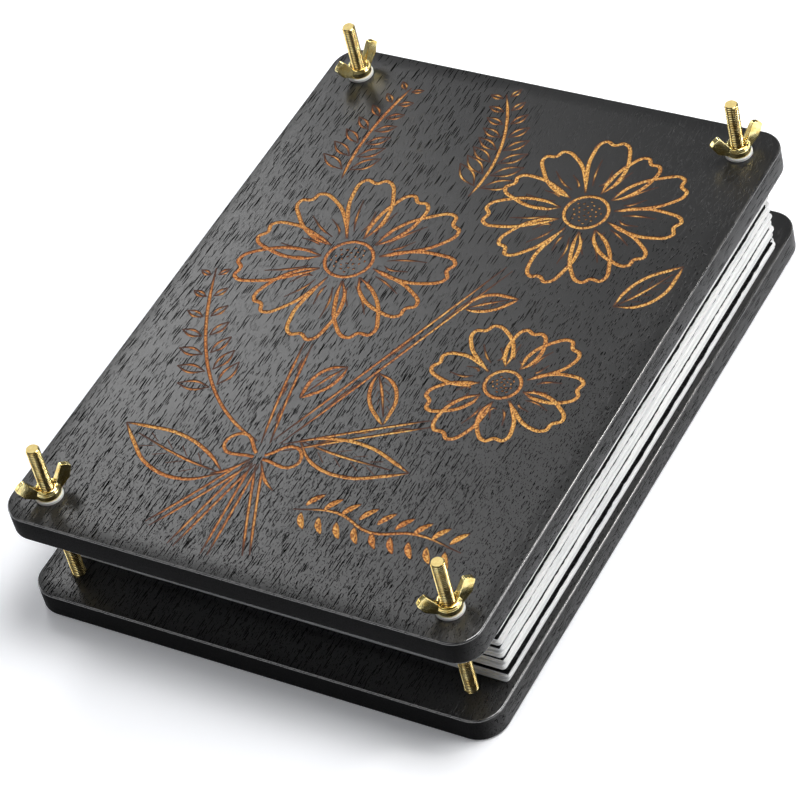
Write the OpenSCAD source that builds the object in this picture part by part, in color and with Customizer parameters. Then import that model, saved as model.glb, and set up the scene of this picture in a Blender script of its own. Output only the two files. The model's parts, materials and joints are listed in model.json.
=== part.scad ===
// Flower press: two wooden boards that four bolts and wing nuts clamp over a stack of sheets.
// X runs across the press, Y along it (near end negative), Z up. The origin is the centre of
// the bottom board's underside. All sizes are in millimetres.

/* [Boards] */
// Width of each board, across the grain
board_w = 220; // [160:1:320]
// Length of each board, along the grain
board_l = 300; // [200:1:420]
// Thickness of each board
board_t = 12; // [10:0.5:20]
// Radius of the corners of each board, seen from above
corner_r = 12; // [4:0.5:30]
// Radius of the eased edges all round each board
edge_r = 1; // [0.3:0.1:2.5]
// Distance from the axis of a bolt to the long side of the board
bolt_in_x = 16.5; // [12:0.5:30]
// Distance from the axis of a bolt to the short side of the board
bolt_in_y = 16; // [12:0.5:30]

/* [Bolts] */
// Outer diameter of the thread
bolt_d = 6; // [5:0.5:6.5]
// Height of the free end of each bolt above the top board
bolt_rise = 28; // [16:0.5:60]
// Chamfer on the free end
bolt_end_c = 0.7; // [0.3:0.1:1.2]
// Diameter of the domed head
head_d = 16; // [13:0.5:20]
// Height of the domed head
head_h = 3.5; // [2.5:0.1:4]
// Height of the straight rim round the head
head_rim_h = 0.6; // [0.3:0.1:1]
// How far the head lies inside the underside of the board
head_sink = 0.5; // [0.2:0.1:0.8]
// Height of the square neck under the head, which stops the bolt turning
neck_h = 4; // [2:0.5:4.5]
// Room round the head in its recess
head_gap = 1; // [0.5:0.1:2]
// Room round the shank in the holes of the boards, on each side
hole_gap = 0.25; // [0.15:0.05:0.5]

/* [Washers] */
// Outer diameter of the nylon washer
washer_d = 12; // [11:0.5:18]
// Thickness of the washer
washer_t = 1.6; // [0.8:0.1:3]
// Room round the shank in the washer, on each side
washer_gap = 0.2; // [0.1:0.05:0.4]

/* [Wing nuts] */
// Diameter of the foot of the hub
hub_foot_d = 11.4; // [10:0.2:14]
// Height of the straight foot of the hub
hub_foot_h = 1; // [0.5:0.1:2]
// Diameter of the top of the hub
hub_top_d = 9; // [8.8:0.1:10]
// Height of the hub
hub_h = 4.4; // [3.5:0.1:8]
// Width of the bevel round the top of the hub
hub_bevel = 0.6; // [0.2:0.1:0.9]
// Running room between the nut and the thread, on each side
thread_gap = 0.05; // [0.02:0.01:0.1]
// Depth of the countersink at both mouths of the nut's hole
mouth_c = 0.5; // [0.2:0.1:0.8]
// Distance from the nut's axis to the outermost point of a wing
wing_reach = 12.5; // [11:0.5:20]
// Height of the wings above the foot of the nut
wing_h = 12.3; // [10:0.1:20]
// Width of a wing across its blunt tip
wing_tip_w = 5.2; // [4:0.1:8]
// Angle of a wing above the horizontal
wing_lean = 56; // [40:1:70]
// Thickness of a wing at its tip
wing_tip_t = 2.4; // [1.6:0.1:3.5]
// Thickness of a wing where it leaves the hub
wing_root_t = 3.6; // [2.4:0.1:4.5]
// Width of the bevel round the faces of a wing
wing_bevel = 0.45; // [0.2:0.05:0.6]
// Turn of the nuts: near left, near right, far left, far right
nut_turns = [56, 53, 73, 55];

/* [Sheets] */
// Distance from the long side of the board to the sheets
sheet_in_x = 4; // [2:0.5:20]
// Room between the shanks and the short sides of the sheets, with the stack in the middle
sheet_bolt_gap = 2.5; // [2.5:0.5:15]
// How far the stack lies off the middle of the boards, towards the far end
stack_shift = 1.5; // [-1.5:0.1:1.5]
// Radius of the corners of the blotting sheets
sheet_r = 3; // [1:0.5:12]
// Thickness of one blotting sheet
blotter_t = 1.45; // [0.8:0.05:3]
// Number of blotting sheets in each pack, from the bottom up
pack_counts = [3, 4, 4, 3, 5];
// Furthest that a sheet lies out of line with the stack
sheet_slip = 0.5; // [0:0.1:0.7]

/* [Corrugated boards] */
// Thickness of the thick board, above the lowest pack
thick_t = 3; // [2.5:0.1:5]
// Distance between the waves of the thick board
thick_pitch = 6.4; // [5:0.1:9]
// Thickness of the thin boards, above the other packs
thin_t = 1.5; // [1.2:0.05:2.4]
// Distance between the waves of the thin boards
thin_pitch = 3.4; // [2.8:0.1:5]
// Thickness of the flat papers outside the waves
liner_t = 0.25; // [0.15:0.05:0.4]
// Thickness of the waved paper, measured level
wave_t = 0.35; // [0.2:0.05:0.5]

/* [Hidden] */
$fn = 64;
// Overrun of every cut beyond the face that it breaks
cut = 1;
// Number of sides of the curves inside a hull
hull_sides = 28;
// Flat stretch at each crest of a wave, as a share of the pitch
crest_share = 0.2;
// Plain margin at each end of a corrugated board, as a share of the pitch
margin_share = 0.5;
// Radius of the rounded corners of a wing tip, as a share of the tip's width
tip_corner_share = 0.24;
// Rise of the domed tip of a wing above its corners, as a share of the tip's width
tip_dome_share = 0.1;
// Place and radius of the belly of a wing, as shares of its reach, height and tip width
belly_shares = [0.67, 0.46, 0.42];
// Height and radius of a wing's two root corners on the hub, as shares of the hub's height
root_low_shares = [0.32, 0.3];
root_high_shares = [0.76, 0.2];
// Distance of the root corners from the axis, as a share of the hub's top radius
root_reach_share = 1.02;
// Steps of the two waves that place the sheets out of line, in degrees a sheet
slip_steps = [137, 83];

corner_names = ["near_left", "near_right", "far_left", "far_right"];
corner_signs = [[-1, -1], [1, -1], [-1, 1], [1, 1]];
bolt_x = board_w / 2 - bolt_in_x;
bolt_y = board_l / 2 - bolt_in_y;

// The stack from the bottom up: a corrugated board lies above every pack but the last.
layer_kinds = [for (p = [0:len(pack_counts) - 1])
    each concat([for (i = [1:pack_counts[p]]) "blotter"],
        p < len(pack_counts) - 1 ? ["corrugated"] : [])];
function count_before(i) = len([for (k = [0:1:i - 1]) if (layer_kinds[k] == layer_kinds[i]) k]);
function layer_t(i) = layer_kinds[i] == "blotter" ? blotter_t : count_before(i) == 0 ? thick_t : thin_t;
function sum_below(i) = i == 0 ? 0 : layer_t(i - 1) + sum_below(i - 1);
function two_digits(n) = str(n < 10 ? "0" : "", n);
function layer_name(i) = layer_kinds[i] == "blotter"
    ? str("blotter_", two_digits(count_before(i) + 1))
    : str("corrugated_", count_before(i) + 1);
layer_names = [for (i = [0:len(layer_kinds) - 1]) layer_name(i)];
stack_h = sum_below(len(layer_kinds));
top_z = board_t + stack_h;
washer_z = top_z + board_t;
nut_z = washer_z + washer_t;
bolt_end_z = washer_z + bolt_rise;
neck_z = head_h + head_sink;
sheet_w = board_w - 2 * sheet_in_x;
sheet_l = 2 * (bolt_y - bolt_d / 2 - sheet_bolt_gap);

// Moves its child to the bolt of corner k.
module at_corner(k) {
    translate([corner_signs[k].x * bolt_x, corner_signs[k].y * bolt_y]) children();
}

// Outline of a bar of the given width with the height of a board and eased long edges.
module bar_section(w) {
    translate([-w / 2 + edge_r, 0]) square([w - 2 * edge_r, board_t]);
    translate([-w / 2, edge_r]) square([w, board_t - 2 * edge_r]);
    for (x = [-w / 2 + edge_r, w / 2 - edge_r], y = [edge_r, board_t - edge_r])
        translate([x, y]) circle(edge_r);
}

// Half of that outline, as the edge of a round plate.
module rim_section(r) {
    square([r - edge_r, board_t]);
    translate([0, edge_r]) square([r, board_t - 2 * edge_r]);
    for (y = [edge_r, board_t - edge_r]) translate([r - edge_r, y]) circle(edge_r);
}

// A board with rounded corners and eased edges: two crossed bars and four round corners.
module board_blank() {
    translate([0, board_l / 2 - corner_r]) rotate([90, 0])
        linear_extrude(board_l - 2 * corner_r) bar_section(board_w);
    translate([-board_w / 2 + corner_r, 0]) rotate([90, 0, 90])
        linear_extrude(board_w - 2 * corner_r) bar_section(board_l);
    for (s = corner_signs)
        translate([s.x * (board_w / 2 - corner_r), s.y * (board_l / 2 - corner_r)])
            rotate_extrude() intersection() {
                rim_section(corner_r);
                square([corner_r, board_t]);
            }
}

module bottom_board() {
    color("#2b2a2a") difference() {
        board_blank();
        for (k = [0:3]) at_corner(k) {
            translate([0, 0, -cut]) cylinder(d = head_d + 2 * head_gap, h = neck_z + cut);
            translate([-bolt_d / 2, -bolt_d / 2, neck_z - cut]) cube([bolt_d, bolt_d, neck_h + cut]);
            cylinder(d = bolt_d + 2 * hole_gap, h = board_t + cut);
        }
    }
}

module top_board() {
    color("#343333") difference() {
        translate([0, 0, top_z]) board_blank();
        for (k = [0:3]) at_corner(k)
            translate([0, 0, top_z - cut]) cylinder(d = bolt_d + 2 * hole_gap, h = board_t + 2 * cut);
    }
}

// Domed head face down in its recess, square neck, and a shank up to the free end.
module bolt(k) {
    dome_h = head_h - head_rim_h;
    dome_r = (pow(head_d / 2, 2) + pow(dome_h, 2)) / (2 * dome_h);
    color("#c9a650") at_corner(k) {
        translate([0, 0, neck_z - head_rim_h]) cylinder(d = head_d, h = head_rim_h);
        intersection() {
            translate([0, 0, head_sink + dome_r]) sphere(dome_r);
            translate([0, 0, head_sink]) cylinder(d = head_d, h = dome_h);
        }
        translate([-bolt_d / 2, -bolt_d / 2, neck_z]) cube([bolt_d, bolt_d, neck_h]);
        translate([0, 0, neck_z]) cylinder(d = bolt_d, h = bolt_end_z - bolt_end_c - neck_z);
        translate([0, 0, bolt_end_z - bolt_end_c])
            cylinder(r1 = bolt_d / 2, r2 = bolt_d / 2 - bolt_end_c, h = bolt_end_c);
    }
}

module washer(k) {
    color("#ecebe8") at_corner(k) translate([0, 0, washer_z]) difference() {
        cylinder(d = washer_d, h = washer_t);
        translate([0, 0, -cut]) cylinder(d = bolt_d + 2 * washer_gap, h = washer_t + 2 * cut);
    }
}

// A disc of a wing, standing in the plane of the wing, with bevelled rims.
module coin(x, z, r, t) {
    translate([x, 0, z]) rotate([90, 0]) {
        cylinder(r = r - wing_bevel, h = t, center = true, $fn = hull_sides);
        cylinder(r = r, h = t - 2 * wing_bevel, center = true, $fn = hull_sides);
    }
}

// One wing: it leaves the hub low, swells on its outer side and ends in a blunt domed tip.
module wing() {
    tip_r = wing_tip_w * tip_corner_share;
    dome = wing_tip_w * tip_dome_share;
    dome_r = (pow(wing_tip_w / 2 - tip_r, 2) + pow(dome, 2)) / (2 * dome) + tip_r;
    half = wing_tip_w / 2 - tip_r;
    outer_x = wing_reach - tip_r;
    inner_x = outer_x - 2 * half * sin(wing_lean);
    inner_z = wing_h - tip_r;
    outer_z = inner_z - 2 * half * cos(wing_lean);
    mid_x = (outer_x + inner_x) / 2;
    mid_z = (outer_z + inner_z) / 2;
    cap = tip_r + dome - wing_tip_w / 2;
    belly_r = wing_tip_w * belly_shares[2];
    root_x = hub_top_d / 2 * root_reach_share;
    hull() {
        coin(outer_x, outer_z, tip_r, wing_tip_t);
        coin(inner_x, inner_z, tip_r, wing_tip_t);
        coin(mid_x + cap * cos(wing_lean), mid_z + cap * sin(wing_lean), wing_tip_w / 2, wing_tip_t);
        coin(wing_reach * belly_shares[0], wing_h * belly_shares[1], belly_r,
            (wing_tip_t + wing_root_t) / 2);
        coin(root_x, hub_h * root_low_shares[0], hub_h * root_low_shares[1], wing_root_t);
        coin(root_x, hub_h * root_high_shares[0], hub_h * root_high_shares[1], wing_root_t);
    }
}

// Hub in one turned profile, two wings, and a plain hole that runs on the thread.
module wing_nut(k) {
    hole_r = bolt_d / 2 + thread_gap;
    color("#d4b054") at_corner(k) translate([0, 0, nut_z]) rotate([0, 0, nut_turns[k]]) difference() {
        union() {
            rotate_extrude() polygon([[0, 0], [hub_foot_d / 2, 0], [hub_foot_d / 2, hub_foot_h],
                [hub_top_d / 2, hub_h - hub_bevel], [hub_top_d / 2 - hub_bevel, hub_h], [0, hub_h]]);
            wing();
            rotate([0, 0, 180]) wing();
        }
        translate([0, 0, -cut]) cylinder(r = hole_r, h = hub_h + 2 * cut);
        translate([0, 0, hub_h - mouth_c]) cylinder(r1 = hole_r, r2 = hole_r + mouth_c, h = mouth_c);
        cylinder(r1 = hole_r + mouth_c, r2 = hole_r, h = mouth_c);
    }
}

// Outline of a sheet with rounded corners.
module sheet_outline() {
    square([sheet_w - 2 * sheet_r, sheet_l], center = true);
    square([sheet_w, sheet_l - 2 * sheet_r], center = true);
    for (s = corner_signs)
        translate([s.x * (sheet_w / 2 - sheet_r), s.y * (sheet_l / 2 - sheet_r)]) circle(sheet_r);
}

module blotter() {
    color("#f4f3f0") linear_extrude(blotter_t) sheet_outline();
}

// One hollow of a corrugated board: narrow at a crest of the wave, wide at the liner.
function hollow(y, pitch, t, up) = let (
        narrow = crest_share * pitch / 2,
        wide = pitch / 2 - narrow - wave_t,
        liner_z = up ? t - liner_t : liner_t,
        crest_z = up ? liner_t + wave_t : t - liner_t - wave_t)
    [[y - wide, liner_z], [y + wide, liner_z], [y + narrow, crest_z], [y - narrow, crest_z]];

// Two flat papers with a waved one between them: the hollows run across the press.
module corrugated(t, pitch) {
    count = floor((sheet_l - 2 * margin_share * pitch) / pitch);
    first_y = -(count - 1) / 2 * pitch;
    rim = [[-sheet_l / 2, 0], [sheet_l / 2, 0], [sheet_l / 2, t], [-sheet_l / 2, t]];
    hollows = [for (i = [0:2 * count - 2]) hollow(first_y + i * pitch / 2, pitch, t, i % 2 == 0)];
    color("#1d1d1f") translate([-sheet_w / 2, 0]) rotate([90, 0, 90]) linear_extrude(sheet_w)
        polygon(concat(rim, [for (h = hollows) each h]),
            concat([[0, 1, 2, 3]], [for (i = [1:len(hollows)]) [for (j = [0:3]) 4 * i + j]]));
}

module layer(i) {
    slip = sheet_slip * [sin(slip_steps.x * i), -cos(slip_steps.y * i)];
    translate([slip.x, stack_shift + slip.y, board_t + sum_below(i)])
        if (layer_kinds[i] == "blotter") blotter();
        else corrugated(layer_t(i), layer_t(i) == thick_t ? thick_pitch : thin_pitch);
}

bottom_board();
top_board();
for (k = [0:3]) {
    bolt(k);
    washer(k);
    wing_nut(k);
}
for (i = [0:len(layer_kinds) - 1])
    layer(i);
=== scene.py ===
"""Flower press: two black stained boards, four brass bolts with wing nuts, and the stack of sheets."""
import json
from math import cos, pi, radians, sin, sqrt

import bmesh
import bpy
from mathutils import Matrix, Quaternion, Vector, noise

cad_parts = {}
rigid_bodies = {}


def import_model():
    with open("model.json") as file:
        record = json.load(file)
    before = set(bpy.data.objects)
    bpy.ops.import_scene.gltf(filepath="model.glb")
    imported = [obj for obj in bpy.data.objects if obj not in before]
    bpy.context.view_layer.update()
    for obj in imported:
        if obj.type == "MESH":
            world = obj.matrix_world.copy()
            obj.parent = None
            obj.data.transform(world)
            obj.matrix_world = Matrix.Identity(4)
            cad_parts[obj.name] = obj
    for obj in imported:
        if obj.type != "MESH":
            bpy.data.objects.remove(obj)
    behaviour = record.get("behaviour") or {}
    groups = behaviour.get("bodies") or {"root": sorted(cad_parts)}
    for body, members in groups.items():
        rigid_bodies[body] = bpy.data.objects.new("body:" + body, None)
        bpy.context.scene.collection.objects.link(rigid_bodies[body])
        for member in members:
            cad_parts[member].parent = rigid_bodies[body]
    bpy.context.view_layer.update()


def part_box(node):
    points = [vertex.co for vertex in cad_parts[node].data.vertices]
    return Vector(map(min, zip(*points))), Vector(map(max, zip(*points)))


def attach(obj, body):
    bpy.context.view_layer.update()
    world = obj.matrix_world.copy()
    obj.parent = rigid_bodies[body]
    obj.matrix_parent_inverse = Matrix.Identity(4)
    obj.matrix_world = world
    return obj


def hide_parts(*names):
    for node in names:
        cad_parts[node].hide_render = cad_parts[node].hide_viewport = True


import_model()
scene = bpy.context.scene
noise.seed_set(5)  # noise_vector gives another result each run without this

# Sizes are in millimetres and angles in degrees; a size times MM is in the scene's metres
MM = 0.001

# Points closer than CLOSE are one, and points within a HAIR of a cut lie on it
CLOSE = MM / 1000
HAIR = MM / 10000

CORNERS = ("near_left", "near_right", "far_left", "far_right")
TOP_OF_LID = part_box("top_board")[1].z

# Boards; their faces are cut into squares
BOARD_CORNER_R = 12
BOARD_RIM_R = 0.8
SQUARE = 9
BOLT_HOLE_R = 3.25
RECESS_R = 9
RECESS_DEEP = 4

# How far from the middle of a board its dull ends begin, and how far they are dull altogether
DULL_FROM = 143.5
DULL_FULL = 149.5

# Places of a board's finishes in its list of materials
RIM = 1
ENGRAVED = 2
SIDE = 3

# Engraving: a tube of TUBE_R, lying TUBE_RISE above the lid, cuts a groove of this width and depth
LINE_W = 2.05
LINE_DEPTH = 0.66
TUBE_R = (LINE_W ** 2 / 4 + LINE_DEPTH ** 2) / (2 * LINE_DEPTH)
TUBE_RISE = TUBE_R - LINE_DEPTH

# Widths of the drawing's strokes as shares of LINE_W
PETAL = 1
CREASE = 0.68
RING = 0.9
SEED = 0.7
LEAF_EDGE = 0.95
VEIN = 0.62
RIB = 0.8
STALK = 0.85
LEAFLET = 0.72
DASH = 0.6
BLADE = 1.5
THIN_END = 0.45

# Bolts: the radii of the thread from root to crest, and heights above the lowest point of the head.
# The upper end is chamfered from TIP_R, and the top SAWN of it has the sawn finish
THREAD_STEPS = 20
ROOT_R = 2.38
FLANK_R = 2.7
SHOULDER_R = 2.92
CREST_R = 2.96
# Faces in the thread's roots, away from its ends, get the groove finish of painted shade
SHADED_ROOT_R = 2.68
SHADED_ROOT_MARGIN = 0.5
THREAD_FOOT = 7.4
TIP_R = 2.45
TIP_SLOPE = 0.9
SAWN = 0.05
HEAD_R = 8
HEAD_TALL = 3.5
NECK_HALF = 3
NECK_FOOT = 3.2
NECK_TOP = 7.5
NECK_CORNER_R = 0.3
NECK_RIM_R = 0.2

# Washers
WASHER_R = 6
WASHER_HOLE_R = 3.2
WASHER_RIM = 0.25
WASHER_HOLE_RIM = 0.1

# Wing nuts: a turned hub, the discs that a wing is stretched over as (x, z, radius, thickness), and the bore
HUB_R = 5.45
HUB_TALL = 4.4
WING_DISCS = ((11.5, 9.0, 0.9, 2.2), (8.6, 11.0, 0.9, 2.2), (9.8, 9.6, 1.7, 2.2), (8.6, 5.4, 2.0, 2.7),
              (4.3, 1.6, 1.3, 3.6), (4.3, 3.5, 0.9, 3.4))
BORE_R = 3.05
COUNTERSINK_R = 3.85
MELT = 0.17
NUT_TURNS = {"near_left": 56, "near_right": 53, "far_left": 73, "far_right": 55}

# The stack lies a little to the right and turned a touch
STACK_SHIFT = (0.9, 0.25)
STACK_TURN = -0.13

# Blotting sheets; a long edge has SHEET_CUTS points between its ends, which wander and lift
SHEETS = 19
SHEET_CORNER_R = 1.8
SHEET_RIM_R = 0.4
SHEET_INSET = Vector((0.15, 0.15, 0.02))
SHEET_CUTS = 63
SHEET_WANDER = 0.1
SHEET_LIFT = 0.04

# Divider boards, of which the first has coarse flutes
CARDS = 4
COARSE_FLUTE = 6.4
FINE_FLUTE = 3.4
FLAT_PLY = 0.25
WAVED_PLY = 0.35
PLY_INSET = 0.3
PLY_LOWEST = 0.05
CARD_TRIM = (0.8, 4)
CARD_NEARER = 1.6
CARD_WANDER = 0.3
CARD_LIFT = 0.06

# Stage and camera, with their places in metres; the camera is fitted to the boards in the photograph
FLOOR_REACH = 6
FLOOR_DROP = 0.1 * MM
CAMERA_SPOT = Vector((0.66597, -0.83309, 1.06129))
CAMERA_AIM = Vector((0.00246, -0.01808, 0.03))
CAMERA_LENS = 158.34
CAMERA_ROLL = -15.32


# Finishes


class Wire:
    """An output socket of a finish. Sums and products of wires add Math nodes."""

    def __init__(self, finish, socket):
        self.finish = finish
        self.socket = socket

    def math(self, operation, first, second):
        return self.finish.node("ShaderNodeMath", {"operation": operation}, {0: first, 1: second})

    def __add__(self, other):
        return self.math("ADD", self, other)

    def __radd__(self, other):
        return self.math("ADD", other, self)

    def __sub__(self, other):
        return self.math("SUBTRACT", self, other)

    def __rsub__(self, other):
        return self.math("SUBTRACT", other, self)

    def __mul__(self, other):
        return self.math("MULTIPLY", self, other)

    def __rmul__(self, other):
        return self.math("MULTIPLY", other, self)


class Finish:
    """A node tree of a material or of the world, built up one node at a time."""

    def __init__(self, owner):
        owner.use_nodes = True
        self.tree = owner.node_tree
        self.tree.nodes.clear()

    def node(self, kind, settings=None, sockets=None, out=0):
        """Adds a node with its settings and inputs, and gives one of its outputs."""
        made = self.tree.nodes.new(kind)
        for key, value in (settings or {}).items():
            setattr(made, key, value)
        for key, value in (sockets or {}).items():
            if isinstance(value, Wire):
                self.tree.links.new(value.socket, made.inputs[key])
            else:
                made.inputs[key].default_value = value
        return Wire(self, made.outputs[out]) if made.outputs else None

    def place(self, scale=(1, 1, 1)):
        """The piece's own coordinates in millimetres, times a scale on each axis."""
        spot = self.node("ShaderNodeTexCoord", out="Object")
        return self.node("ShaderNodeMapping", {}, {"Vector": spot, "Scale": [s / MM for s in scale]})

    def coordinate(self, axis):
        """The piece's own X, Y or Z in millimetres."""
        return self.node("ShaderNodeSeparateXYZ", {}, {0: self.place()}, out=axis)

    def vector_math(self, operation, first, second=(0, 0, 0), third=(0, 0, 0), out=0):
        """A Vector Math node; its first output is a vector and its second is a number."""
        sockets = {0: first, 1: second, 2: third}
        return self.node("ShaderNodeVectorMath", {"operation": operation}, sockets, out)

    def noise(self, vector, detail=2.0, roughness=0.5):
        return self.node("ShaderNodeTexNoise", {"noise_dimensions": "3D"}, {
            "Vector": vector, "Scale": 1.0, "Detail": detail, "Roughness": roughness})

    def ease(self, value, low, high, start=0.0, end=1.0):
        """Rises smoothly from start to end as the value goes from low to high."""
        return self.node("ShaderNodeMapRange", {"interpolation_type": "SMOOTHSTEP"}, {
            "Value": value, "From Min": low, "From Max": high, "To Min": start, "To Max": end})

    def mix(self, share, first, second):
        """A colour that goes from the first to the second as the share goes from 0 to 1."""
        return self.node("ShaderNodeMix", {"data_type": "RGBA"}, {0: share, 6: first, 7: second}, out=2)

    def blend(self, share, first, second):
        """A shader that goes from the first to the second as the share goes from 0 to 1."""
        return self.node("ShaderNodeMixShader", {}, {0: share, 1: first, 2: second})

    def bump(self, height, strength, depth):
        return self.node("ShaderNodeBump", {}, {
            "Height": height, "Strength": strength, "Distance": depth * MM})

    def shader(self, sockets):
        return self.node("ShaderNodeBsdfPrincipled", {}, sockets)

    def output(self, shader):
        self.node("ShaderNodeOutputMaterial", {}, {"Surface": shader})

    def surface(self, sockets):
        self.output(self.shader(sockets))


def shade(red, green, blue):
    """A colour as it shows on a screen, from 0 to 255, turned into a linear one."""
    line = [c / 255 / 12.92 if c <= 10 else ((c / 255 + 0.055) / 1.055) ** 2.4 for c in (red, green, blue)]
    return (*line, 1)


def new_finish(name):
    """A new material and the finish that builds its nodes."""
    material = bpy.data.materials.new(name)
    return material, Finish(material)


def black_stained_wood(name, sides=False):
    """Open-grained wood under thin black stain. Pores run along the board; its sides and ends are duller."""
    material, f = new_finish(name)
    sway = f.noise(f.place((0.012, 0.004, 0.012)), 1.0)
    swayed = f.node("ShaderNodeCombineXYZ", {}, {0: sway, 1: 0.0, 2: sway})
    bent = f.vector_math("MULTIPLY_ADD", swayed, (7, 0, 7), f.place())

    def stretched(across, along):
        return f.vector_math("MULTIPLY", bent, (1 / across, 1 / along, 1 / across))

    def specks(across, along, core, reach):
        """Thin strokes with tapered ends, scattered along the grain."""
        away = f.node("ShaderNodeTexVoronoi", {"voronoi_dimensions": "3D"}, {
            "Vector": stretched(across, along), "Scale": 1.0})
        return f.ease(away, core, reach, 1.0, 0.0)

    # Long pores are thickest at the left of the board, short and tiny ones at its near right
    x = f.coordinate("X")
    y = f.coordinate("Y")
    near_right = 0.35 * x - 0.5 * y
    cloud = 80 * f.noise(f.place((0.016, 0.01, 0.016))) - 40
    long = 0.8 if sides else f.ease(0.5 * x + 0.15 * y + cloud, 8, 38, 1.0, 0.15)
    short = f.ease(near_right - cloud, -20, 30, 0.2, 0.85)
    tiny = f.ease(near_right + cloud, 5, 50, 0.0, 0.8)
    cuts = specks(0.8, 12, 0.2, 0.33) * long
    cuts = cuts + specks(0.7, 4.2, 0.18, 0.31) * short + specks(0.62, 1.4, 0.16, 0.31) * tiny

    leather = f.noise(stretched(0.3, 0.8), 2.0, 0.6)
    bands = f.noise(stretched(9, 130))
    tone = f.mix(bands, shade(20, 20, 20), shade(28, 28, 28))
    tone = f.mix(f.ease(leather, 0.45, 0.75, 0, 0.5), tone, shade(42, 41, 41))
    tone = f.mix(f.ease(cuts, 0, 0.7), tone, shade(4, 4, 4))
    skin = f.shader({"Base Color": tone, "Roughness": 0.27 + 0.12 * leather + 0.5 * cuts,
                     "Specular IOR Level": 0.22 if sides else 0.7,
                     "Normal": f.bump(0.045 * leather - cuts, 1.0, 0.24)})
    pit = f.shader({"Base Color": shade(3, 3, 3), "Roughness": 0.9, "Specular IOR Level": 0.0})
    skin = f.blend(f.ease(cuts, 0.2, 0.6, 0.0, 0.8), skin, pit)
    if sides:
        far_out = f.ease(f.node("ShaderNodeMath", {"operation": "ABSOLUTE"}, {0: y}), DULL_FROM, DULL_FULL)
        dots = f.noise(f.place((1.6, 1.6, 1.1)))
        dull = f.shader({
            "Base Color": f.mix(f.ease(dots, 0.4, 0.7), shade(20, 20, 21), shade(10, 10, 10)),
            "Roughness": 0.5 + 0.2 * dots, "Specular IOR Level": 0.05, "Normal": f.bump(dots, 0.5, 0.12)})
        skin = f.blend(far_out, skin, dull)
    f.output(skin)
    return material


def rubbed_edge_and_highlight():
    """The eased rims of a board, where handling has polished the stain, and a lighter tone paints a highlight
    along them.
    """
    material, f = new_finish("rubbed_edge_and_highlight")
    rub_and_highlight = f.ease(f.noise(f.place((0.35, 0.12, 0.35)), 3.0), 0.35, 0.65)
    fine = f.noise(f.place((1.2, 0.2, 1.2)), 3.0)
    # A lighter tone than the wood's, partly worn stain and partly a painted highlight along the rims
    tone = f.mix(rub_and_highlight, shade(48, 48, 48), shade(84, 83, 82))
    f.surface({"Base Color": tone, "Roughness": 0.08 + 0.08 * fine, "IOR": 2.0,
               "Normal": f.bump(fine, 0.2, 0.05)})
    return material


def scorched_wood():
    """The floor of an engraved line: bare orange wood with brown rims, partly burnt and partly painted shade
    of the groove's walls.
    """
    material, f = new_finish("scorched_wood")
    depth = TOP_OF_LID / MM - f.coordinate("Z")
    grit = f.noise(f.place((1.3, 0.95, 1.3)), 2.0, 0.6)
    patches = f.noise(f.place((0.02, 0.02, 0.02)), 1.0)
    light = f.ease(patches + 0.002 * f.coordinate("X") + 0.0008 * f.coordinate("Y"), 0.3, 0.72)
    tone = f.mix(light, shade(182, 106, 44), shade(214, 152, 68))
    bright = f.mix(light, shade(226, 164, 92), shade(248, 210, 126))
    tone = f.mix(f.ease(grit, 0.5, 0.36, 0, 0.9), tone, bright)
    tone = f.mix(f.ease(grit, 0.52, 0.62, 0, 0.9), tone, shade(92, 46, 18))
    # Darker brown where the groove is shallow, at its walls: partly burnt wood and partly painted shade
    rim = f.ease(depth + 0.24 * grit, 0.29, 0.46, 1.0, 0.0)
    tone = f.mix(rim, tone, shade(66, 32, 14))
    f.surface({"Base Color": tone, "Roughness": 0.6, "Normal": f.bump(grit, 0.6, 0.2)})
    return material


def polished_brass(name, bright, deep):
    """Bright brass plate, a little darker and duller in patches."""
    material, f = new_finish(name)
    patches = f.noise(f.place((0.3, 0.3, 0.3)), 3.0)
    fine = f.noise(f.place((1.8, 1.8, 1.8)))
    tone = f.mix(f.ease(patches, 0.35, 0.7), bright, deep)
    dents = f.bump(f.noise(f.place((0.5, 0.5, 0.5))), 0.18, 0.25)
    f.surface({"Base Color": tone, "Metallic": 1.0, "Roughness": 0.1 + 0.14 * fine, "Normal": dents})
    return material


def sawn_brass():
    """The cut end of a bolt, matt beside the bright plate."""
    material, f = new_finish("sawn_brass")
    rings = f.noise(f.place((1.2, 1.2, 1.2)))
    tone = f.mix(rings, shade(246, 232, 170), shade(222, 196, 128))
    f.surface({"Base Color": tone, "Metallic": 1.0, "Roughness": 0.58 + 0.16 * rings})
    return material


def shaded_groove():
    """Brass in the roots of a thread, dull, and darkened with painted shade."""
    material, f = new_finish("shaded_groove")
    root_shade_mottle = f.noise(f.place((0.8, 0.8, 0.8)))
    tone = f.mix(root_shade_mottle, shade(46, 32, 12), shade(92, 70, 32))
    f.surface({"Base Color": tone, "Metallic": 0.8, "Roughness": 0.42 + 0.16 * root_shade_mottle})
    return material


def white_nylon():
    """Slightly milky nylon."""
    material, f = new_finish("white_nylon")
    cloud = f.noise(f.place((0.5, 0.5, 0.5)))
    tone = f.mix(cloud, shade(226, 226, 222), shade(240, 240, 237))
    normal = f.bump(f.noise(f.place((3, 3, 3)), 1.0), 0.15, 0.05)
    f.surface({"Base Color": tone, "Roughness": 0.38 + 0.1 * cloud, "Normal": normal,
               "Subsurface Weight": 0.1, "Subsurface Scale": 0.002})
    return material


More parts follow.
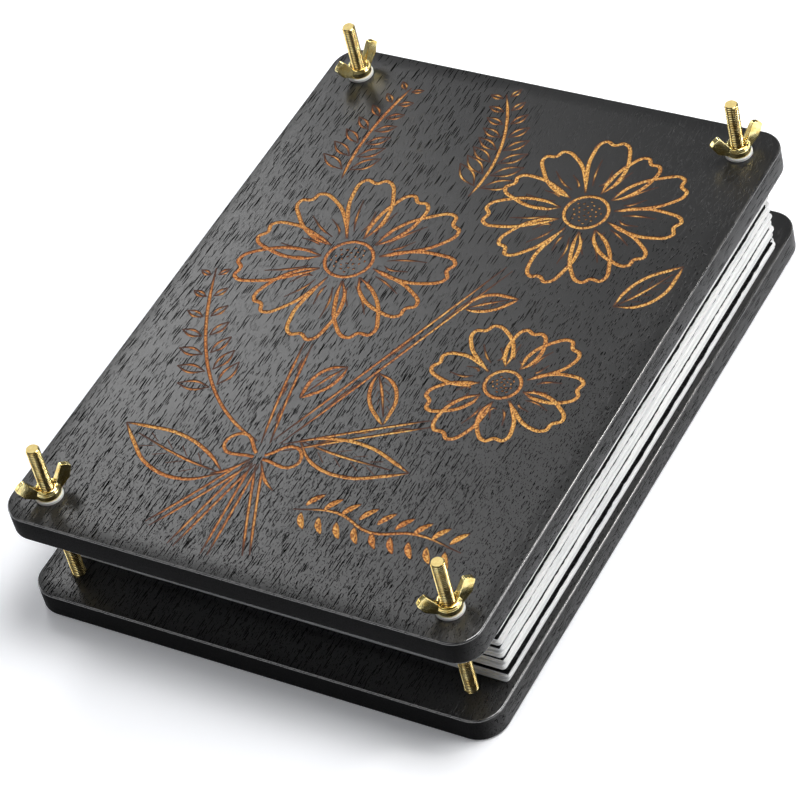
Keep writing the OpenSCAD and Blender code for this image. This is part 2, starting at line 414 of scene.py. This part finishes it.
def blotting_paper():
    """Soft thick paper: white, fibrous, with faint grey streaks along its cut edges."""
    material, f = new_finish("blotting_paper")
    fibre = f.noise(f.place((1.4, 0.25, 2.2)), 4.0, 0.6)
    streak = f.noise(f.place((0.03, 0.018, 0.9)))
    tone = f.mix(f.ease(streak, 0.45, 0.7), shade(254, 254, 253), shade(238, 239, 240))
    tone = f.mix(f.ease(fibre, 0.55, 0.8, 0, 0.3), tone, shade(226, 227, 229))
    f.surface({"Base Color": tone, "Roughness": 0.86 + 0.08 * fibre, "Specular IOR Level": 0.2,
               "Normal": f.bump(fibre, 0.5, 0.25)})
    return material


def black_corrugated():
    """Dull black card with frayed cut edges."""
    material, f = new_finish("black_corrugated")
    fibre = f.noise(f.place((1.5, 1.5, 2.5)), 4.0, 0.65)
    tone = f.mix(f.ease(fibre, 0.5, 0.8), shade(14, 14, 15), shade(46, 46, 48))
    f.surface({"Base Color": tone, "Roughness": 0.8 + 0.12 * fibre, "Specular IOR Level": 0.2,
               "Normal": f.bump(fibre, 0.7, 0.2)})
    return material


BOARD_FINISHES = [black_stained_wood("black_stained_wood"), rubbed_edge_and_highlight(), scorched_wood(),
                  black_stained_wood("black_stained_sides", True)]


# Making pieces


def loose(name, data):
    """Adds an object with this mesh, curve, lamp or camera to the scene."""
    made = bpy.data.objects.new(name, data)
    scene.collection.objects.link(made)
    return made


def bake(made):
    """The mesh of an object with its modifiers applied; the object itself goes."""
    view = bpy.context.evaluated_depsgraph_get()
    mesh = bpy.data.meshes.new_from_object(made.evaluated_get(view))
    bpy.data.objects.remove(made)
    return mesh


def to_mesh(name, shape, materials=()):
    """Turns a bmesh into a mesh with these materials; the bmesh itself goes."""
    mesh = bpy.data.meshes.new(name)
    shape.to_mesh(mesh)
    shape.free()
    for material in materials:
        mesh.materials.append(material)
    return mesh


def dress(name, mesh, body, nodes, sharp=38):
    """Makes a finished piece: its shading, its body and the nodes it stands for."""
    mesh.name = name
    mesh.shade_smooth()
    mesh.set_sharp_from_angle(angle=radians(sharp))
    made = loose(name, mesh)
    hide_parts(*nodes)
    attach(made, body)


def everything(shape):
    """All points, edges and faces of a bmesh."""
    return shape.verts[:] + shape.edges[:] + shape.faces[:]


def turned(profile, steps=48, ring=False):
    """A solid turned round the upright axis from a profile of (radius, height)."""
    shape = bmesh.new()
    spots = [shape.verts.new((r * MM, 0, z * MM)) for r, z in profile]
    for low, high in zip(spots, spots[1:] + spots[:1] if ring else spots[1:]):
        shape.edges.new((low, high))
    bmesh.ops.spin(shape, geom=everything(shape), cent=(0, 0, 0), axis=(0, 0, 1), angle=2 * pi, steps=steps,
                   use_merge=True)
    bmesh.ops.remove_doubles(shape, verts=shape.verts, dist=CLOSE)
    bmesh.ops.recalc_face_normals(shape, faces=shape.faces)
    return shape


def sliced(shape, spot, normal, clear=False):
    """Cuts a shape along a plane, and drops what lies beyond the plane if it is to be cleared."""
    bmesh.ops.bisect_plane(shape, geom=everything(shape), dist=HAIR, plane_co=spot, plane_no=normal,
                           clear_outer=clear)


def scored(shape, low, high, step):
    """Cuts a block's faces into squares, so that none of them has many sides."""
    for axis in (0, 1):
        count = int((high[axis] - low[axis]) / step)
        for k in range(1, count):
            spot, normal = Vector(), Vector()
            spot[axis] = low[axis] + (high[axis] - low[axis]) * k / count
            normal[axis] = 1
            sliced(shape, spot, normal)
    return shape


def rounded_block(low, high, corner, rim, corner_steps, rim_steps):
    """A block with rounded upright corners and eased rims; the rims get the second material."""
    shape = bmesh.new()
    bmesh.ops.create_cube(shape, size=1)
    size = high - low
    bmesh.ops.scale(shape, vec=size, verts=shape.verts)
    bmesh.ops.translate(shape, vec=(low + high) / 2, verts=shape.verts)
    upright = [e for e in shape.edges if abs(e.verts[0].co.z - e.verts[1].co.z) > size.z / 2]
    bmesh.ops.bevel(shape, geom=upright, offset=corner, offset_type="OFFSET", affect="EDGES",
                    segments=corner_steps, profile=0.5, material=-1)
    rims = [e for e in shape.edges if len({round(f.normal.z) for f in e.link_faces}) > 1]
    eased = bmesh.ops.bevel(shape, geom=rims, offset=rim, offset_type="OFFSET", affect="EDGES",
                            segments=rim_steps, profile=0.5, material=-1)
    for face in eased["faces"]:
        face.material_index = RIM
    return shape


def cut(mesh, cutters):
    """Takes the cutters' solids out of a mesh."""
    blank = loose("blank", mesh)
    group = bpy.data.collections.new("cutters")
    scene.collection.children.link(group)
    for cutter in cutters:
        group.objects.link(bpy.data.objects.new("cutter", cutter))
    away = blank.modifiers.new("away", "BOOLEAN")
    away.operation = "DIFFERENCE"
    away.solver = "MANIFOLD"
    away.operand_type = "COLLECTION"
    away.collection = group
    result = bake(blank)
    for tool in list(group.objects):
        bpy.data.objects.remove(tool)
    bpy.data.collections.remove(group)
    return result


def moved(shape, x, y, z=0.0, turn=0.0):
    """Turns a shape round the upright axis and then moves it."""
    bmesh.ops.rotate(shape, cent=(0, 0, 0), matrix=Matrix.Rotation(radians(turn), 3, "Z"), verts=shape.verts)
    bmesh.ops.translate(shape, vec=(x, y, z), verts=shape.verts)
    return shape


# Engraved drawing


def stroke_cutter(points, width, fades=True):
    """A tube along a stroke of the drawing that leaves a shallow, rounded groove in the lid."""
    ring = points[0] == points[-1]
    points = points[:-1] if ring else points
    curve = bpy.data.curves.new("stroke", "CURVE")
    curve.dimensions = "3D"
    curve.twist_mode = "Z_UP"
    curve.bevel_depth = TUBE_R * MM
    curve.bevel_resolution = 3
    curve.resolution_u = 5
    curve.use_fill_caps = True
    line = curve.splines.new("BEZIER")
    line.use_cyclic_u = ring
    line.bezier_points.add(len(points) - 1)
    last = len(points) - 1
    for k, (spot, (x, y)) in enumerate(zip(line.bezier_points, points)):
        spot.co = (x * MM, y * MM, TOP_OF_LID + TUBE_RISE * MM)
        spot.handle_left_type = spot.handle_right_type = "AUTO"
        swell = 1
        if width == BLADE:
            swell = sin(pi * (k + 0.35) / (last + 0.7))
        elif fades and not ring and k in (0, last):
            swell = THIN_END
        spot.radius = sqrt(TUBE_RISE ** 2 + (swell * width * LINE_W / 2) ** 2) / TUBE_R
    shape = bmesh.new()
    shape.from_mesh(bake(loose("stroke", curve)))
    bmesh.ops.remove_doubles(shape, verts=shape.verts, dist=HAIR)
    for face in shape.faces:
        face.material_index = ENGRAVED
    return to_mesh("stroke", shape, BOARD_FINISHES)


def spot_at(centre, angle, along, across=0.0):
    """The point that lies so far along and across a line from the centre at an angle."""
    a = radians(angle)
    return (centre[0] + along * cos(a) - across * sin(a), centre[1] + along * sin(a) + across * cos(a))


def laid(centre, angle, outline, width):
    """A stroke through points that are given along and across a line from the centre at an angle."""
    return [spot_at(centre, angle, u, v) for u, v in outline], width


def daisy(centre, reach, heart, petals, turn):
    """Strokes of an open daisy: petals round a heart of small dots."""
    strokes = []
    for k in range(petals):
        angle = turn + 360 * k / petals
        r = reach * (1 + 0.06 * sin(2.4 * k))
        side = pi * r * 0.7 / petals
        lean = 0.22 * side * sin(1.7 * k)
        outline = [(heart + 1.4, -0.4 * side), (0.45 * r, -0.8 * side + lean), (0.8 * r, -0.94 * side + lean),
                   (0.985 * r, -0.48 * side + lean), (0.955 * r, lean), (r, 0.52 * side + lean),
                   (0.8 * r, 0.94 * side + lean), (0.45 * r, 0.8 * side + lean), (heart + 1.4, 0.4 * side)]
        strokes.append(laid(centre, angle, outline, PETAL))
        for s, far in ((-1, 0.6), (1, 0.74)):
            crease = [(heart + 6, 0.16 * s * side), (far * 0.7 * r, 0.34 * s * side + 0.5 * lean),
                      (far * r, 0.36 * s * side + lean)]
            strokes.append(laid(centre, angle, crease, CREASE))
    strokes.append(([spot_at(centre, 30 * (k % 12), heart - 0.4) for k in range(13)], RING))
    seeds = int(heart * 2.4)
    golden_angle = 137.5
    for k in range(seeds):
        r = (heart - 3) * sqrt((k + 0.5) / seeds)
        seed = [spot_at(centre, golden_angle * k, r - 0.35), spot_at(centre, golden_angle * k, r + 0.35)]
        strokes.append((seed, SEED, False))
    return strokes


def heading(dx, dy):
    """The angle of a direction in the board's plane, in degrees."""
    return Vector((dx, dy)).angle_signed(Vector((1, 0))) * 180 / pi


def leaf(foot, tip, wide, bend):
    """Strokes of a pointed leaf with a midrib and side veins."""
    length = sqrt((tip[0] - foot[0]) ** 2 + (tip[1] - foot[1]) ** 2)
    angle = heading(tip[0] - foot[0], tip[1] - foot[1])
    strokes = []
    for s in (-1, 1):
        edge = [(0, 0), (0.22 * length, s * wide * 0.4 + bend), (0.55 * length, s * wide * 0.5 + bend),
                (0.85 * length, s * wide * 0.2 + 0.4 * bend), (length, 0)]
        strokes.append(laid(foot, angle, edge, LEAF_EDGE))
        for k in range(4):
            root = length * (0.2 + 0.15 * k)
            vein = [(root, bend * 0.8 + s * 1.4), (root + 0.1 * length, bend + s * wide * (0.3 - 0.03 * k))]
            strokes.append(laid(foot, angle, vein, VEIN))
    rib = [(1.5, 0.2 * bend), (0.35 * length, bend * 0.8), (0.84 * length, bend * 0.6)]
    strokes.append(laid(foot, angle, rib, RIB))
    return strokes


def along(points, share):
    """A point and the angle there on the smooth line from the first point to the last."""
    (ax, ay), (bx, by), (cx, cy) = points
    rest = 1 - share
    x = rest ** 2 * ax + 2 * share * rest * bx + share ** 2 * cx
    y = rest ** 2 * ay + 2 * share * rest * by + share ** 2 * cy
    return (x, y), heading(rest * (bx - ax) + share * (cx - bx), rest * (by - ay) + share * (cy - by))


def fern(points, pairs, reach, start):
    """Strokes of a fern frond: a stalk with pairs of narrow leaflets that grow shorter."""
    strokes = [([along(points, k / 8)[0] for k in range(9)], STALK)]
    for k in range(pairs):
        spot, angle = along(points, start + (0.97 - start) * k / (pairs - 1))
        size = reach * (1 - 0.7 * k / pairs)
        for s in (-1, 1):
            root = spot_at(spot, angle, 0, s * 1.6)
            for side in (-0.16, 0.16):
                edge = [(0, 0), (0.5 * size, side * size), (size, 0)]
                strokes.append(laid(root, angle + s * 54, edge, LEAFLET))
    return strokes


def stem(points, wide=1.9, dashes=3):
    """Strokes of a stem: its two sides, with short lines of shade between them."""
    strokes = []
    for s in (-1, 1):
        side = [spot_at(*along(points, k / 5), 0, s * wide) for k in range(6)]
        strokes.append((side, LEAFLET))
    for k in range(dashes):
        share = 0.15 + 0.25 * k
        dash = [spot_at(*along(points, share + t), 0, 0.4 * wide * (-1) ** k) for t in (0, 0.07, 0.14)]
        strokes.append((dash, DASH))
    return strokes


def bow(x, y):
    """Strokes of a ribbon's bow: two loops and two loose ends."""
    strokes = []
    for s in (-1, 1):
        loop = [(x + s * 2, y), (x + s * 13, y + 8), (x + s * 17, y - 1), (x + s * 2, y - 2)]
        loose_end = [(x + s * 2, y - 3), (x + s * 9, y - 12), (x + s * 15, y - 16)]
        strokes.append((loop, RING, False))
        strokes.append((loose_end, RING))
    return strokes


def garland():
    """Strokes of a wavy vine with pairs of small blades, each cut as one broad stroke."""
    strokes = [([(8, -108), (26, -104), (44, -109), (62, -104), (84, -107)], RIB)]
    run = 5.2
    for k in range(9):
        x = 12 + 8.2 * k
        for s in (-1, 1):
            y = -106.5 + s * 1.8
            blade = [(x + run * t - 0.16 * run * sin(pi * t), y + s * 8 * t) for t in (0, 0.25, 0.5, 0.75, 1)]
            strokes.append((blade, BLADE))
    return strokes


def drawing():
    """A posy of three daisies with ferns and leaves, and a small garland beside its stems."""
    tie_x, tie_y = -20, -86
    strokes = []
    strokes += daisy((-40, 26), 47, 11, 11, 8)
    strokes += daisy((46, 82), 42, 10, 11, 3)
    strokes += daisy((58, -20), 33, 8, 9, 12)
    strokes += fern([(-8, 76), (-2, 108), (-22, 140)], 8, 17, 0.1)
    strokes += fern([(-68, 70), (-74, 98), (-66, 132)], 7, 15, 0.1)
    strokes += fern([(-25, -80), (-70, -66), (-94, 4)], 7, 15, 0.42)
    strokes += leaf((22, 14), (42, 26), 9, 1)
    strokes += leaf((82, 34), (100, 64), 13, -1.5)
    strokes += leaf((5, -30), (21, -56), 11, 1)
    strokes += leaf((-9, -31), (-20, -53), 9, -1)
    strokes += leaf((-30, -100), (-84, -88), 20, 3)
    strokes += leaf((-8, -74), (44, -76), 18, -2)
    strokes += stem([(-32, -24), (-28, -52), (-21, -80)])
    strokes += stem([(30, 41), (6, -20), (-17, -78)])
    strokes += stem([(40, -49), (16, -62), (-13, -80)])
    for end_x, end_y in ((-46, -134), (-31, -141), (-15, -141), (2, -136)):
        root = (tie_x + (end_x + 22) * 0.1, tie_y - 5)
        strokes += stem([root, ((end_x + tie_x) / 2, -112), (end_x, end_y)], 1.5, 0)
    strokes += bow(tie_x, tie_y)
    strokes += garland()
    return strokes


# Boards


def board_mesh(node):
    """A board with rounded corners, eased rims and sides of their own finish."""
    low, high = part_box(node)
    shape = rounded_block(low, high, BOARD_CORNER_R * MM, BOARD_RIM_R * MM, 12, 4)
    for face in shape.faces:
        if abs(face.normal.z) < 0.1:
            face.material_index = SIDE
    return to_mesh(node, scored(shape, low, high, SQUARE * MM), BOARD_FINISHES)


def bolt_spot(corner):
    """Where a corner's bolt stands."""
    low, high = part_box("bolt_" + corner)
    return (low.x + high.x) / 2, (low.y + high.y) / 2


def hole_cutter(corner, radius, bottom, top):
    """An upright rod round a corner's bolt, between two heights in metres."""
    shape = turned([(0, bottom / MM), (radius, bottom / MM), (radius, top / MM), (0, top / MM)], 40)
    return to_mesh("hole", moved(shape, *bolt_spot(corner)), BOARD_FINISHES)


base_low, base_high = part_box("bottom_board")
lid_low, lid_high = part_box("top_board")
base_cutters = []
lid_cutters = [stroke_cutter(*stroke) for stroke in drawing()]
for corner in CORNERS:
    base_cutters.append(hole_cutter(corner, BOLT_HOLE_R, base_low.z, base_high.z + MM))
    base_cutters.append(hole_cutter(corner, RECESS_R, base_low.z - MM, base_low.z + RECESS_DEEP * MM))
    lid_cutters.append(hole_cutter(corner, BOLT_HOLE_R, lid_low.z - MM, lid_high.z + MM))
dress("base_board", cut(board_mesh("bottom_board"), base_cutters), "base", ["bottom_board"])
dress("engraved_lid", cut(board_mesh("top_board"), lid_cutters), "top_board",
      ["top_board"], 24)


# Bolts, washers and wing nuts


def one_turn(height):
    """One turn of the helical thread, from a height up, as a sheet that is open above and below."""
    turn = bmesh.new()
    ridge = [(ROOT_R, 0), (FLANK_R, 0.2), (SHOULDER_R, 0.36), (CREST_R, 0.42), (CREST_R, 0.52),
             (SHOULDER_R, 0.58), (FLANK_R, 0.72), (ROOT_R, 0.92), (ROOT_R, 1)]
    spots = [turn.verts.new((r * MM, 0, (height + z) * MM)) for r, z in ridge]
    for first, second in zip(spots, spots[1:]):
        turn.edges.new((first, second))
    bmesh.ops.spin(turn, geom=everything(turn), cent=(0, 0, 0), axis=(0, 0, 1),
                   dvec=(0, 0, MM / THREAD_STEPS), angle=2 * pi, steps=THREAD_STEPS)
    return to_mesh("thread", turn)


def thread(start, end):
    """A closed threaded rod between two heights, chamfered at its upper end."""
    blank = loose("thread", one_turn(start - 2))
    rows = blank.modifiers.new("turns", "ARRAY")
    rows.count = int(end - start) + 4
    rows.use_relative_offset = False
    rows.use_constant_offset = True
    rows.constant_offset_displace = (0, 0, MM)
    rows.use_merge_vertices = True
    rows.merge_threshold = 2 * CLOSE
    shape = bmesh.new()
    shape.from_mesh(bake(blank))
    bmesh.ops.remove_doubles(shape, verts=shape.verts, dist=2 * CLOSE)
    sliced(shape, (0, 0, start * MM), (0, 0, -1), True)
    sliced(shape, (0, 0, end * MM), (0, 0, 1), True)
    for vert in shape.verts:
        limit = TIP_R * MM + (end * MM - vert.co.z) * TIP_SLOPE
        reach = vert.co.xy.length
        if reach > limit:
            vert.co.xy *= limit / reach
    bmesh.ops.holes_fill(shape, edges=[e for e in shape.edges if e.is_boundary], sides=0)
    return shape


def threaded_bolt_mesh():
    """A bolt at the origin with its helical thread, chamfered end, square neck and domed head."""
    low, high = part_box("bolt_near_left")
    bottom, start, end = low.z / MM, low.z / MM + THREAD_FOOT, high.z / MM
    shape = thread(start, end)
    dome = [(0, 0), (2.6, 0.25), (5.2, 1.1), (7.2, 2.3), (7.9, 2.95), (HEAD_R, 3.15), (HEAD_R, 3.4),
            (7.85, HEAD_TALL), (0, HEAD_TALL)]
    head = turned([(r, bottom + z) for r, z in dome], 40)
    neck = rounded_block(Vector((-NECK_HALF, -NECK_HALF, bottom + NECK_FOOT)) * MM,
                         Vector((NECK_HALF, NECK_HALF, bottom + NECK_TOP)) * MM,
                         NECK_CORNER_R * MM, NECK_RIM_R * MM, 2, 2)
    for part in (head, neck):
        shape.from_mesh(to_mesh("part", part))
    # Faces in the thread's roots get the second finish, of painted shade, and the cut end gets the third
    for face in shape.faces:
        spot = face.calc_center_median()
        inside = start + SHADED_ROOT_MARGIN < spot.z / MM < end - SHADED_ROOT_MARGIN
        face.material_index = int(spot.xy.length < SHADED_ROOT_R * MM and inside)
        if spot.z / MM > end - SAWN:
            face.material_index = 2
    bmesh.ops.recalc_face_normals(shape, faces=shape.faces)
    return to_mesh("bolt", shape)


def placed(mesh, corner, finishes, height=0.0, turn=0.0):
    """A copy of a mesh that was made at the origin, moved to a corner's bolt."""
    shape = bmesh.new()
    shape.from_mesh(mesh)
    return to_mesh("copy", moved(shape, *bolt_spot(corner), height, turn), finishes)


def nylon_washer(corner):
    """A flat washer whose rims are eased, more at the outside than at the hole."""
    low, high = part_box("washer_" + corner)
    bottom, top = low.z / MM, high.z / MM
    hole, wide = WASHER_HOLE_R + WASHER_HOLE_RIM, WASHER_R - WASHER_RIM
    shape = turned([(WASHER_HOLE_R, bottom + WASHER_HOLE_RIM), (hole, bottom), (wide, bottom),
                    (WASHER_R, bottom + WASHER_RIM), (WASHER_R, top - WASHER_RIM), (wide, top), (hole, top),
                    (WASHER_HOLE_R, top - WASHER_HOLE_RIM)], 56, True)
    dress("nylon_washer_" + corner, to_mesh("washer", moved(shape, *bolt_spot(corner)), [nylon]), "top_board",
          ["washer_" + corner])


def disc(shape, x, z, radius, thick):
    """Adds a disc of a wing, standing in the plane of the wing."""
    place = Matrix.Translation((x * MM, 0, z * MM)) @ Matrix.Rotation(pi / 2, 4, "X")
    bmesh.ops.create_cone(shape, cap_ends=True, segments=24, radius1=radius * MM, radius2=radius * MM,
                          depth=thick * MM, matrix=place)


def cast_nut_mesh():
    """One wing nut, standing at the origin: hub and wings melted together, then bored."""
    nut = turned([(0, 0), (5.25, 0), (HUB_R, 0.2), (HUB_R, 2.8), (5.2, 3.2), (4.9, 3.9), (4.6, 4.25),
                  (4.2, HUB_TALL), (0, HUB_TALL)], 56)
    for side in (0, 180):
        wing = bmesh.new()
        for spot in WING_DISCS:
            disc(wing, *spot)
        bmesh.ops.convex_hull(wing, input=wing.verts)
        nut.from_mesh(to_mesh("wing", moved(wing, 0, 0, 0, side)))
    blank = loose("nut", to_mesh("nut", nut))
    melt = blank.modifiers.new("melt", "REMESH")
    melt.mode = "VOXEL"
    melt.voxel_size = MELT * MM
    soft = blank.modifiers.new("soft", "SMOOTH")
    soft.factor = 0.6
    soft.iterations = 3
    bore = turned([(0, -1), (BORE_R, -1), (BORE_R, 3.7), (COUNTERSINK_R, 4.5), (COUNTERSINK_R, 6), (0, 6)])
    return cut(bake(blank), [to_mesh("bore", bore)])


bolt_finishes = [polished_brass("brass_thread", shade(250, 232, 168), shade(228, 194, 116)), shaded_groove(),
                 sawn_brass()]
nut_finish = polished_brass("brass_cast", shade(253, 238, 172), shade(232, 202, 118))
nylon = white_nylon()
bolt_mesh = threaded_bolt_mesh()
nut_mesh = cast_nut_mesh()
for corner in CORNERS:
    dress("threaded_bolt_" + corner, placed(bolt_mesh, corner, bolt_finishes), "base",
          ["bolt_" + corner], 26)
    nylon_washer(corner)
    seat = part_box("wing_nut_" + corner)[0].z
    dress("cast_nut_" + corner, placed(nut_mesh, corner, [nut_finish], seat, NUT_TURNS[corner]),
          "wing_nut_" + corner, ["wing_nut_" + corner], 60)


# The stack


def worried(verts, wander, lift, seed, rag=0.6):
    """Moves points a little out of line, as a cut edge of soft paper is, in slow and in fine waves."""
    for vert in verts:
        pull = noise.noise_vector(vert.co * 60 + Vector((seed * 7.3, 0, seed)))
        fine = noise.noise_vector(vert.co * 420 + Vector((0, seed * 3.1, seed)))
        vert.co += Vector((pull.x + rag * fine.x, pull.y + rag * fine.y, 0)) * (wander * MM)
        vert.co.z += pull.z * (lift * MM)


def stacked(shape):
    """Lays a sheet as the stack lies."""
    return moved(shape, STACK_SHIFT[0] * MM, STACK_SHIFT[1] * MM, 0, STACK_TURN)


def blotting_sheet(node, seed):
    """A thick sheet with soft rims and slightly uneven long edges."""
    low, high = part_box(node)
    shape = rounded_block(low + SHEET_INSET * MM, high - SHEET_INSET * MM, SHEET_CORNER_R * MM,
                          SHEET_RIM_R * MM, 5, 2)
    long_edges = [e for e in shape.edges if e.calc_length() > 50 * MM]
    bmesh.ops.subdivide_edges(shape, edges=long_edges, cuts=SHEET_CUTS, use_grid_fill=False)
    worried(shape.verts, SHEET_WANDER, SHEET_LIFT, seed)
    mesh = to_mesh(node, stacked(shape), [paper_finish, paper_finish])
    dress("sheet_" + node, mesh, node, [node], 60)


def flat_ply(low, high, level, steps):
    """A flat sheet a little smaller than a divider board, at a level, in steps along the board."""
    size = high - low
    shape = bmesh.new()
    bmesh.ops.create_grid(shape, x_segments=2, y_segments=steps, size=0.5)
    bmesh.ops.scale(shape, vec=(size.x - CARD_TRIM[0] * MM, size.y - CARD_TRIM[1] * MM, 1), verts=shape.verts)
    centre = ((low.x + high.x) / 2, (low.y + high.y) / 2 - CARD_NEARER * MM, level)
    bmesh.ops.translate(shape, vec=centre, verts=shape.verts)
    return shape


def corrugated_card(node, flute, seed):
    """A divider board: two flat plies with a waved one between them, all with frayed edges."""
    low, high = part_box(node)
    size = high - low
    waves = int(size.y / (flute * MM))
    upper = flat_ply(low, high, high.z - PLY_INSET * MM, waves * 3)
    lower = flat_ply(low, high, low.z + PLY_LOWEST * MM, waves * 3)
    waved = flat_ply(low, high, low.z, waves * 8)
    crest = size.z / 2 - PLY_INSET * MM - WAVED_PLY * MM / 2
    for vert in waved.verts:
        swing = sin(2 * pi * vert.co.y / (flute * MM)) * (1 + 0.15 * noise.noise(vert.co * 60))
        vert.co.z = (low.z + high.z) / 2 + crest * max(-1, min(1, 1.25 * swing))
    shape = bmesh.new()
    for ply, thick in ((upper, FLAT_PLY), (lower, FLAT_PLY), (waved, WAVED_PLY)):
        worried([v for v in ply.verts if v.is_boundary], CARD_WANDER, CARD_LIFT, seed, 1.2)
        bmesh.ops.solidify(ply, geom=ply.faces[:], thickness=-thick * MM)
        bmesh.ops.recalc_face_normals(ply, faces=ply.faces)
        shape.from_mesh(to_mesh("ply", ply))
    dress("card_" + node, to_mesh(node, stacked(shape), [card_finish]), node, [node], 60)


paper_finish = blotting_paper()
card_finish = black_corrugated()
for number in range(1, SHEETS + 1):
    blotting_sheet("blotter_%02d" % number, number)
for number in range(1, CARDS + 1):
    corrugated_card("corrugated_%d" % number, COARSE_FLUTE if number == 1 else FINE_FLUTE, number)


# Stage


def studio_floor_finish():
    """White to the camera, to mirrors and through glass, and light grey to the press itself."""
    material, f = new_finish("studio_floor")
    seen = f.node("ShaderNodeLightPath", out="Is Camera Ray")
    seen = seen + f.node("ShaderNodeLightPath", out="Is Glossy Ray")
    seen = seen + f.node("ShaderNodeLightPath", out="Is Transmission Ray")
    grey = f.node("ShaderNodeBsdfDiffuse", {}, {"Color": (0.5, 0.505, 0.52, 1)})
    white = f.node("ShaderNodeBsdfDiffuse", {}, {"Color": (1.26, 1.27, 1.3, 1)})
    # Far from the lamps the floor shines by itself, so that it stays white in low views
    glow = f.node("ShaderNodeEmission", {}, {"Color": (1, 1, 1, 1), "Strength": 1.0})
    away = f.vector_math("LENGTH", f.place(), out=1)
    f.output(f.blend(seen, grey, f.blend(f.ease(away, 800, 1600), white, glow)))
    return material


def studio_world():
    """White to the camera, and to everything else a dim sky that is darkest high at the right."""
    world = bpy.data.worlds.new("studio")
    f = Finish(world)
    seen = f.node("ShaderNodeLightPath", out="Is Camera Ray")
    way = f.node("ShaderNodeTexCoord", out="Generated")
    gaze = f.vector_math("DOT_PRODUCT", way, (0.5, 0.1, 0.86), out=1)
    sky = f.mix(f.ease(gaze, 0.3, 0.95), (0.15, 0.155, 0.165, 1), (0.02, 0.02, 0.022, 1))
    dim = f.node("ShaderNodeBackground", {}, {"Color": sky, "Strength": 1.0})
    white = f.node("ShaderNodeBackground", {}, {"Color": (1, 1, 1, 1), "Strength": 1.0})
    f.node("ShaderNodeOutputWorld", {}, {"Surface": f.blend(seen, dim, white)})
    return world


def facing(spot, aim):
    """The rotation that points a lamp or a camera from a spot at its aim."""
    return (Vector(aim) - Vector(spot)).to_track_quat("-Z", "Y")


def lamp(name, spot, aim, wide, deep, power, colour=(1, 1, 1)):
    """A flat rectangular lamp that faces its aim; its place and size are in metres."""
    light = bpy.data.lights.new(name, "AREA")
    light.shape = "RECTANGLE"
    light.size = wide
    light.size_y = deep
    light.energy = power
    light.color = colour
    made = loose(name, light)
    made.location = spot
    made.rotation_euler = facing(spot, aim).to_euler()


floor_shape = bmesh.new()
bmesh.ops.create_grid(floor_shape, x_segments=1, y_segments=1, size=FLOOR_REACH)
bmesh.ops.translate(floor_shape, vec=(0, 0, -FLOOR_DROP), verts=floor_shape.verts)
floor = loose("studio_floor", to_mesh("studio_floor", floor_shape, [studio_floor_finish()]))
scene.world = studio_world()

lamp("sheen", (-1.1, 0.97, 1.36), (0, 0, 0.05), wide=0.42, deep=0.48, power=5.6)
lamp("top", (0.4, 0.4, 1.78), (0, 0, 0.05), wide=0.9, deep=0.9, power=21)
lamp("fill", (-0.48, -0.85, 1.33), (0, 0, 0.03), wide=1.2, deep=0.5, power=3.1)
lamp("left", (-1.5, -0.1, 0.5), (0, 0, 0.03), wide=0.7, deep=0.7, power=3.5)
lamp("key", (1.15, 0.98, 1.08), (0, 0, 0.04), wide=0.25, deep=0.25, power=6, colour=(1, 0.98, 0.95))
lamp("side", (1.75, 0.5, 0.6), (0, 0, 0.03), wide=1.0, deep=0.8, power=14)


# Camera

camera_data = bpy.data.cameras.new("camera")
camera_data.lens = CAMERA_LENS
camera_data.sensor_width = 36
camera_data.clip_start = 0.05
camera = loose("camera", camera_data)
camera.location = CAMERA_SPOT
camera.rotation_mode = "QUATERNION"
camera.rotation_quaternion = facing(CAMERA_SPOT, CAMERA_AIM) @ Quaternion((0, 0, 1), radians(CAMERA_ROLL))
scene.camera = camera
scene.view_settings.view_transform = "Standard"
